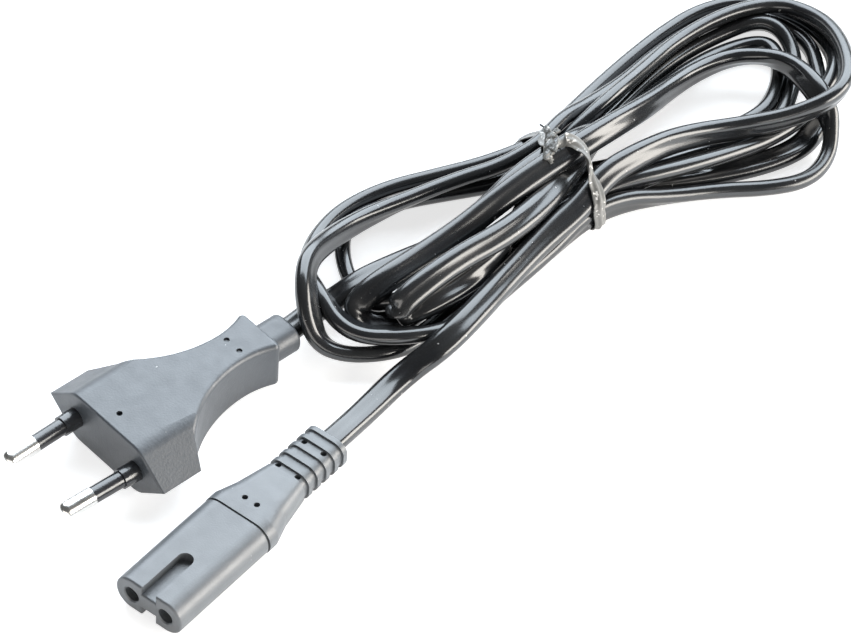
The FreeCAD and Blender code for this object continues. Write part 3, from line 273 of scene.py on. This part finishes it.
def cord_section():
    """Flat section: two half rounds, and broad faces with a faint hollow along the middle."""
    radius = CORD_HEIGHT / 2
    straight = CORD_WIDTH / 2 - radius
    rim = []
    for side in (1, -1):
        for step in range(SECTION_STEPS + 1):
            turn = math.pi * (step / SECTION_STEPS - 0.5)
            rim.append((side * (straight + radius * math.cos(turn)), side * radius * math.sin(turn)))
        for share in GROOVE_SHARES:
            hollow = GROOVE_DEPTH * (1 - abs(share) / GROOVE_END)
            rim.append((side * share * straight, side * (radius - hollow)))
    return rim


def level_side(tangent):
    """Level direction across a line: where a cord's roll is counted from."""
    return UP.cross(tangent).normalized()


def tube(name, line, rolls, section, side_of=level_side):
    """Mesh of a section carried along a line, turned by a roll about it at each step."""
    mesh = bpy.data.meshes.new(name)
    shape = bmesh.new()
    place_layer = shape.verts.layers.float_vector.new("place")
    rings = []
    run = 0.0
    for i, place in enumerate(line):
        before, after = line[max(i - 1, 0)], line[min(i + 1, len(line) - 1)]
        run += (place - before).length
        tangent = (after - before).normalized()
        side = side_of(tangent)
        rise = tangent.cross(side)
        roll = math.radians(rolls[i])
        wide = side * math.cos(roll) + rise * math.sin(roll)
        thin = tangent.cross(wide)
        ring = []
        for across, up in section:
            vertex = shape.verts.new(place + wide * across + thin * up)
            vertex[place_layer] = (run, across, up)
            ring.append(vertex)
        rings.append(ring)
    count = len(section)
    for first, second in zip(rings, rings[1:]):
        for j in range(count):
            k = (j + 1) % count
            shape.faces.new((first[j], first[k], second[k], second[j]))
    shape.faces.new(list(reversed(rings[0])))
    shape.faces.new(rings[-1])
    bmesh.ops.recalc_face_normals(shape, faces=shape.faces)
    for face in shape.faces:
        face.smooth = True
    shape.to_mesh(mesh)
    shape.free()
    piece = bpy.data.objects.new(name, mesh)
    scene.collection.objects.link(piece)
    return piece


def add_cord():
    """The whole flat cord as one piece."""
    points, rolls = cord_route()
    line = read_spline("cord_line", points)
    piece = tube("flat_cord", line, blend_rolls("cord_roll", nearest_turn(rolls)), cord_section())
    length = sum((b - a).length for a, b in zip(line, line[1:]))
    print("cord length %.3f m, %d control points, %d along" % (length, len(points), len(line)))
    return piece, line


# Twist tie: a ribbon bent and rolled round the hank, its ends twisted together, and its wire

# Along, across, up and roll in the hank's frame, from one twisted end round to the other
TIE_TURN = [
    (-6.3, 4.3, 19.3, 80), (-5.4, 4.4, 19.7, 75), (-4, 4.9, 20, 65), (-2.4, 5.1, 19.8, 40),
    (-1.1, 4.3, 19.5, 10), (-0.3, 3.1, 18.9, 0), (0.2, 1.9, 18.3, -10), (0, 0.3, 17.9, -40),
    (-0.3, -1.2, 17.2, -62), (-0.9, -2.3, 16.3, -60), (-1.3, -3.6, 15.2, -35), (-1.7, -4.9, 14.4, -10),
    (-1.8, -6.2, 13.4, 0), (-2.3, -7.6, 12.3, 5), (-2.7, -8.6, 11.3, 5), (-3.1, -8.9, 9.6, 0),
    (-2, -8.4, 7, 0), (-1.7, -8.4, 4, 0), (-1.4, -6.6, 2.1, 0), (-1.1, -2, 0.9, 0), (-0.9, 2, 0.6, 0),
    (-0.4, 8, 0.5, 0), (0, 15.4, 0.6, 0), (0.3, 21.2, 0.8, 0), (0.5, 23.1, 2.6, 0), (0.8, 20.6, 6.6, 0),
    (0.7, 15.7, 12, 10), (-1.4, 12.4, 13.5, 20), (-3.2, 9.4, 15.7, 0), (-5.3, 6.4, 17.8, -40),
]
TIE_WIDTH = 3.0 * MM
TIE_THICKNESS = 0.3 * MM
TIE_BULGE = 0.42 * MM
# Points across the ribbon, as shares of its width: thin at the edges, bulging over the wire
RIBBON_SHARES = (0.5, 0.47, 0.36, 0.26, 0.2, 0.12, 0.0, -0.12, -0.2, -0.26, -0.36, -0.47, -0.5)
RIBBON_EDGE = 0.5
RIBBON_EDGE_THINNING = 0.4
BULGE_REACH = 0.25
# The twist's axis and its sizes in the hank's frame, in millimetres
TWIST_FROM = Vector((-8.1, 3.3, 18.2))
TWIST_TO = Vector((-2.1, 9.6, 18))
TWIST_RADIUS = 0.6
TAIL_REACH = 1.2
TAIL_SWAY = 1.4
# Turns of the twist, points to a turn, and a strip's roll where the twist starts, in degrees
TWIST_TURNS = 1.6
TWIST_POINTS = 12
STRIP_ROLL = 90
# The strips and the wire
STRIP_WIDTH = 1.6 * MM
STRIP_THICKNESS = 0.6 * MM
STRIP_BULGE = 0.4 * MM
WIRE_RADIUS = 0.22 * MM
WIRE_SIDES = 12
# How far the wire runs past the twist's end, and how far it sways aside, in millimetres
WIRE_TIP = ((-2.0, -0.3), (0.4, -0.5), (1.6, -1.6), (2.3, -2.6))


def hank_side(tangent):
    """The hank's long direction, square to a tangent: where the tie's roll is counted from."""
    along = Vector((math.cos(HANK_TURN), math.sin(HANK_TURN), 0))
    return (along - tangent * along.dot(tangent)).normalized()


def ribbon_section(width, thickness, bulge):
    """Thin ribbon with a round bulge in the middle over its wire."""
    rim = []
    for side in (1, -1):
        for share in RIBBON_SHARES:
            high = thickness / 2
            if abs(share) < BULGE_REACH:
                high += bulge * math.cos(math.pi / 2 * share / BULGE_REACH) ** 2
            if abs(share) == RIBBON_EDGE:
                high *= RIBBON_EDGE_THINNING
            rim.append((side * share * width, side * high))
    return rim


def add_tie_ring():
    """The ribbon round the hank, with a roll of its own at each point."""
    line = read_spline("tie_line", [hank_place(row[:3]) for row in TIE_TURN])
    rolls = blend_rolls("tie_roll", [row[3] for row in TIE_TURN])
    section = ribbon_section(TIE_WIDTH, TIE_THICKNESS, TIE_BULGE)
    return tube("tie_ring", line, rolls, section, hank_side)


def add_twisted_end(name, start_turn, axis, first, second):
    """One end of the ribbon, wound about the twist's axis, with a tail that bends aside."""
    points, rolls = [], []
    count = round(TWIST_TURNS * TWIST_POINTS)
    for i in range(count + 1):
        angle = 2 * math.pi * i / TWIST_POINTS + math.radians(start_turn)
        out = first * math.cos(angle) + second * math.sin(angle)
        points.append(hank_place(TWIST_FROM + axis * (i / count) + out * TWIST_RADIUS))
        rolls.append(math.degrees(angle) + STRIP_ROLL)
    tail = axis.normalized() * TAIL_REACH + (first if start_turn else -first) * TAIL_SWAY
    points.append(hank_place(TWIST_TO + tail))
    rolls.append(rolls[-1])
    section = ribbon_section(STRIP_WIDTH, STRIP_THICKNESS, STRIP_BULGE)
    return tube(name, read_spline(name + "_line", points), blend_rolls(name + "_roll", rolls),
                section, hank_side)


def add_wire_tip(axis, first):
    """The bare wire that sticks out of the twist's end."""
    turns = [2 * math.pi * step / WIRE_SIDES for step in range(WIRE_SIDES)]
    section = [(WIRE_RADIUS * math.cos(turn), WIRE_RADIUS * math.sin(turn)) for turn in turns]
    points = [hank_place(TWIST_TO + axis.normalized() * reach + first * sway)
              for reach, sway in WIRE_TIP]
    line = read_spline("tie_wire_line", points)
    return tube("tie_wire_tip", line, [0] * len(line), section, hank_side)


def add_tie():
    """The ring, its two twisted ends and the wire's tip, in that order."""
    axis = TWIST_TO - TWIST_FROM
    first = axis.cross(UP).normalized()
    second = axis.normalized().cross(first)
    return [add_tie_ring(),
            add_twisted_end("tie_twist_first", 0, axis, first, second),
            add_twisted_end("tie_twist_second", 180, axis, first, second),
            add_wire_tip(axis, first)]


# Materials: mostly dark moulded plastic under soft light, so the finish matters most

# Noise scales per metre, where a larger one is finer
MOTTLE_SCALE = 140
FLECK_SCALE = 900
WOBBLE_SCALE = 90
# How much coarser a smear is than the grain, how finely it breaks up, and a fleck's soft edge
SMEAR_COARSENESS = 6
SMEAR_DETAIL = 4
PLAIN_DETAIL = 2
FLECK_EDGE = 0.03
# The mix node's colour sockets, which share their names with its other sockets
MIX_FIRST = 6
MIX_SECOND = 7
MIX_RESULT = 2


def grain(tree, scale, detail=3.0, stretch=(1, 1, 1), attribute=None):
    """Noise in the object's own metres, or along a piece by a stored attribute."""
    if attribute:
        source = tree.nodes.new("ShaderNodeAttribute")
        source.attribute_name = attribute
        place = source.outputs["Vector"]
    else:
        place = tree.nodes.new("ShaderNodeTexCoord").outputs["Object"]
    mapping = tree.nodes.new("ShaderNodeMapping")
    mapping.inputs["Scale"].default_value = stretch
    tree.links.new(place, mapping.inputs["Vector"])
    noise = tree.nodes.new("ShaderNodeTexNoise")
    noise.inputs["Scale"].default_value = scale
    noise.inputs["Detail"].default_value = detail
    tree.links.new(mapping.outputs["Vector"], noise.inputs["Vector"])
    return noise.outputs["Fac"]


def spread(tree, factor, low, high, start=0.35, end=0.65):
    """A factor between start and end drawn out to low and high."""
    remap = tree.nodes.new("ShaderNodeMapRange")
    tree.links.new(factor, remap.inputs["Value"])
    for name, value in (("From Min", start), ("From Max", end), ("To Min", low), ("To Max", high)):
        remap.inputs[name].default_value = value
    return remap.outputs["Result"]


def blend_colours(tree, factor, first, second):
    """First colour where the factor is 0, second where it is 1."""
    mix = tree.nodes.new("ShaderNodeMix")
    mix.data_type = "RGBA"
    tree.links.new(factor, mix.inputs["Factor"])
    for socket, colour in ((mix.inputs[MIX_FIRST], first), (mix.inputs[MIX_SECOND], second)):
        if isinstance(colour, tuple):
            socket.default_value = (*colour, 1)
        else:
            tree.links.new(colour, socket)
    return mix.outputs[MIX_RESULT]


def add_bump(tree, factor, distance, under=None):
    """Bump of that height in metres, on top of another bump where one is given."""
    bump = tree.nodes.new("ShaderNodeBump")
    bump.inputs["Distance"].default_value = distance
    tree.links.new(factor, bump.inputs["Height"])
    if under:
        tree.links.new(under, bump.inputs["Normal"])
    return bump.outputs["Normal"]


def finish_of(name, colours, roughness, grain_scale, grain_depth, wobble_depth=0.0, metallic=0.0,
              specular=0.5, fleck=None, attribute=None, stretch=(1, 1, 1)):
    """Material with mottled colour, uneven roughness, fine grain, a slow wobble and pale flecks."""
    material = bpy.data.materials.new(name)
    material.use_nodes = True
    tree = material.node_tree
    shader = tree.nodes["Principled BSDF"]
    shader.inputs["Metallic"].default_value = metallic
    shader.inputs["Specular IOR Level"].default_value = specular
    mottle = spread(tree, grain(tree, MOTTLE_SCALE), 0, 1)
    colour = blend_colours(tree, mottle, *colours)
    smear = grain(tree, grain_scale / SMEAR_COARSENESS, SMEAR_DETAIL, stretch, attribute)
    low, high = roughness
    tree.links.new(spread(tree, smear, low, high), shader.inputs["Roughness"])
    if fleck:
        fleck_colour, threshold = fleck
        specks = grain(tree, FLECK_SCALE, PLAIN_DETAIL)
        dust = spread(tree, specks, 0, 1, threshold, threshold + FLECK_EDGE)
        colour = blend_colours(tree, dust, colour, fleck_colour)
    tree.links.new(colour, shader.inputs["Base Color"])
    fine = grain(tree, grain_scale, PLAIN_DETAIL, stretch, attribute)
    normal = add_bump(tree, fine, grain_depth)
    if wobble_depth:
        normal = add_bump(tree, grain(tree, WOBBLE_SCALE, PLAIN_DETAIL), wobble_depth, normal)
    tree.links.new(normal, shader.inputs["Normal"])
    return material


# Each finish: its two colours, its range of roughness, scale and depth of its grain, and, where it
# has them, slow wobbles and pale flecks: their colour, and how strong the noise is where they start
FINISHES = {
    "connector_shell": dict(
        colours=((0.1, 0.108, 0.118), (0.125, 0.134, 0.144)), roughness=(0.38, 0.44),
        grain_scale=2600, grain_depth=0.03 * MM, wobble_depth=0.05 * MM, specular=1.0,
        fleck=((0.4, 0.4, 0.4), 0.77)),
    "plug_shell": dict(
        colours=((0.05, 0.058, 0.069), (0.06, 0.069, 0.081)), roughness=(0.4, 0.47),
        grain_scale=2000, grain_depth=0.045 * MM, wobble_depth=0.06 * MM, specular=1.0,
        fleck=((0.4, 0.4, 0.4), 0.77)),
    "sleeve": dict(
        colours=((0.02, 0.021, 0.024), (0.03, 0.032, 0.036)), roughness=(0.16, 0.24),
        grain_scale=1800, grain_depth=0.02 * MM, specular=1.0),
    "pin_metal": dict(
        colours=((0.9, 0.89, 0.87), (0.8, 0.79, 0.76)), roughness=(0.16, 0.3),
        grain_scale=2400, grain_depth=0.006 * MM, metallic=1.0, stretch=(1, 0.08, 1)),
    "contact_metal": dict(
        colours=((0.85, 0.82, 0.74), (0.72, 0.68, 0.6)), roughness=(0.2, 0.36),
        grain_scale=2400, grain_depth=0.006 * MM, metallic=1.0),
    "copper": dict(
        colours=((0.86, 0.42, 0.25), (0.76, 0.34, 0.19)), roughness=(0.25, 0.4),
        grain_scale=3200, grain_depth=0.02 * MM, metallic=1.0, stretch=(1, 0.05, 1)),
    "inner_plastic": dict(
        colours=((0.05, 0.052, 0.056), (0.07, 0.072, 0.076)), roughness=(0.4, 0.55),
        grain_scale=1500, grain_depth=0.02 * MM),
    "brown_core": dict(
        colours=((0.2, 0.085, 0.04), (0.25, 0.11, 0.05)), roughness=(0.35, 0.5),
        grain_scale=1500, grain_depth=0.015 * MM),
    "blue_core": dict(
        colours=((0.05, 0.16, 0.45), (0.07, 0.2, 0.52)), roughness=(0.35, 0.5),
        grain_scale=1500, grain_depth=0.015 * MM),
    "cord_sheath": dict(
        colours=((0.010, 0.011, 0.013), (0.018, 0.019, 0.02)), roughness=(0.16, 0.26),
        grain_scale=1400, grain_depth=0.02 * MM, wobble_depth=0.06 * MM, specular=1.0,
        fleck=((0.35, 0.35, 0.35), 0.74), attribute="place", stretch=(0.06, 1, 1)),
    "tie_skin": dict(
        colours=((0.16, 0.158, 0.15), (0.27, 0.265, 0.255)), roughness=(0.28, 0.5),
        grain_scale=900, grain_depth=0.12 * MM, fleck=((0.75, 0.73, 0.7), 0.62)),
    "tie_core": dict(
        colours=((0.03, 0.03, 0.03), (0.06, 0.06, 0.06)), roughness=(0.35, 0.5),
        grain_scale=1500, grain_depth=0.03 * MM),
}

NODE_FINISHES = {
    "connector_body": "connector_shell", "connector_carrier": "inner_plastic",
    "connector_contact_left": "contact_metal", "connector_contact_right": "contact_metal",
    "connector_conductor_left": "copper", "connector_conductor_right": "copper",
    "connector_core_left": "brown_core", "connector_core_right": "blue_core",
    "plug_body": "plug_shell", "plug_bridge": "inner_plastic",
    "plug_pin_left": "pin_metal", "plug_pin_right": "pin_metal",
    "pin_sleeve_left": "sleeve", "pin_sleeve_right": "sleeve",
    "plug_conductor_left": "copper", "plug_conductor_right": "copper",
    "plug_core_left": "brown_core", "plug_core_right": "blue_core",
}


def dress_nodes(materials):
    """Give every carried-over node its finish."""
    for node, finish in NODE_FINISHES.items():
        piece = bpy.data.objects[node]
        for slot in piece.material_slots:
            slot.material = materials[finish]


# Floor, surroundings and soft light, with sizes and places in metres

FLOOR_HALF = 6.0
FLOOR_DROP = 0.2 * MM
FLOOR_COLOUR = (0.8, 0.8, 0.8, 1)
FLOOR_ROUGHNESS = 0.9
FLOOR_SPECULAR = 0.1
CAMERA_GLOW = 0.72
GLOSSY_GLOW = 0.6
WORLD_LEVEL = 0.12
WHITE = (1, 1, 1, 1)
LIGHT_AIM = Vector((-0.01, 0.08, 0))
LIGHT_DISTANCE = 1.3

# Name, direction from the cord set, width, height, level and tint
SOFTBOXES = [
    ("back_box", (-0.34, 0.62, 0.66), 2.0, 1.3, 5.6, (0.83, 0.92, 1.0)),
    ("right_strip", (0.86, 0.36, 0.27), 1.7, 0.6, 9.0, (1.0, 0.96, 0.9)),
    ("front_strip", (0.3, -0.9, 0.25), 1.6, 0.4, 2.4, (1.0, 0.97, 0.93)),
]


def add_floor():
    """White floor that glows a little for the camera and keeps the shadow."""
    mesh = bpy.data.meshes.new("floor")
    shape = bmesh.new()
    corners = [shape.verts.new((x * FLOOR_HALF, y * FLOOR_HALF, -FLOOR_DROP)) for x, y in
               ((-1, -1), (1, -1), (1, 1), (-1, 1))]
    shape.faces.new(corners)
    shape.to_mesh(mesh)
    shape.free()
    floor = bpy.data.objects.new("floor", mesh)
    scene.collection.objects.link(floor)
    material = bpy.data.materials.new("floor")
    material.use_nodes = True
    tree = material.node_tree
    shader = tree.nodes["Principled BSDF"]
    shader.inputs["Base Color"].default_value = FLOOR_COLOUR
    shader.inputs["Roughness"].default_value = FLOOR_ROUGHNESS
    shader.inputs["Specular IOR Level"].default_value = FLOOR_SPECULAR
    shader.inputs["Emission Color"].default_value = WHITE
    rays = tree.nodes.new("ShaderNodeLightPath")
    glow = tree.nodes.new("ShaderNodeMath")
    glow.operation = "ADD"
    for ray, level, socket in (("Is Camera Ray", CAMERA_GLOW, 0), ("Is Glossy Ray", GLOSSY_GLOW, 1)):
        tree.links.new(spread(tree, rays.outputs[ray], 0.0, level, 0.0, 1.0), glow.inputs[socket])
    tree.links.new(glow.outputs[0], shader.inputs["Emission Strength"])
    mesh.materials.append(material)


def add_world():
    """Even pale surroundings, fully white where the camera sees them."""
    world = bpy.data.worlds.new("world")
    scene.world = world
    world.use_nodes = True
    tree = world.node_tree
    background = tree.nodes["Background"]
    background.inputs["Color"].default_value = WHITE
    rays = tree.nodes.new("ShaderNodeLightPath")
    tree.links.new(spread(tree, rays.outputs["Is Camera Ray"], WORLD_LEVEL, 1.0, 0.0, 1.0),
                   background.inputs["Strength"])


def add_softbox(name, towards, width, height, level, tint):
    """Area light of an even brightness, in one direction from the cord set and facing it."""
    data = bpy.data.lights.new(name, "AREA")
    data.shape = "RECTANGLE"
    data.size, data.size_y = width, height
    data.energy = level * math.pi * width * height
    data.color = tint
    lamp = bpy.data.objects.new(name, data)
    offset = Vector(towards).normalized() * LIGHT_DISTANCE
    facing = offset.to_track_quat("Z", "Y").to_matrix().to_4x4()
    lamp.matrix_world = Matrix.Translation(LIGHT_AIM + offset) @ facing
    scene.collection.objects.link(lamp)


def add_lights():
    """Large cool soft box behind and above, a warm strip on the right, and a weak one in front."""
    for softbox in SOFTBOXES:
        add_softbox(*softbox)


# The whole scene; the new pieces hang on the root, and the carried-over cord and tie parts are hidden

add_camera()
cord, cord_line = add_cord()
tie_pieces = add_tie()
tie_ring, first_twist, second_twist, wire_tip = tie_pieces
materials = {name: finish_of(name, **finish) for name, finish in FINISHES.items()}
dress_nodes(materials)
cord.data.materials.append(materials["cord_sheath"])
for piece in (tie_ring, first_twist, second_twist):
    piece.data.materials.append(materials["tie_skin"])
wire_tip.data.materials.append(materials["tie_core"])
add_floor()
add_world()
add_lights()

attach(cord, "root")
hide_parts("cord_hank", "cord_to_plug", "cord_to_connector")
for piece in tie_pieces:
    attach(piece, "root")
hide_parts("tie_ribbon")
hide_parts("tie_wire")

scene.view_settings.view_transform = "Standard"
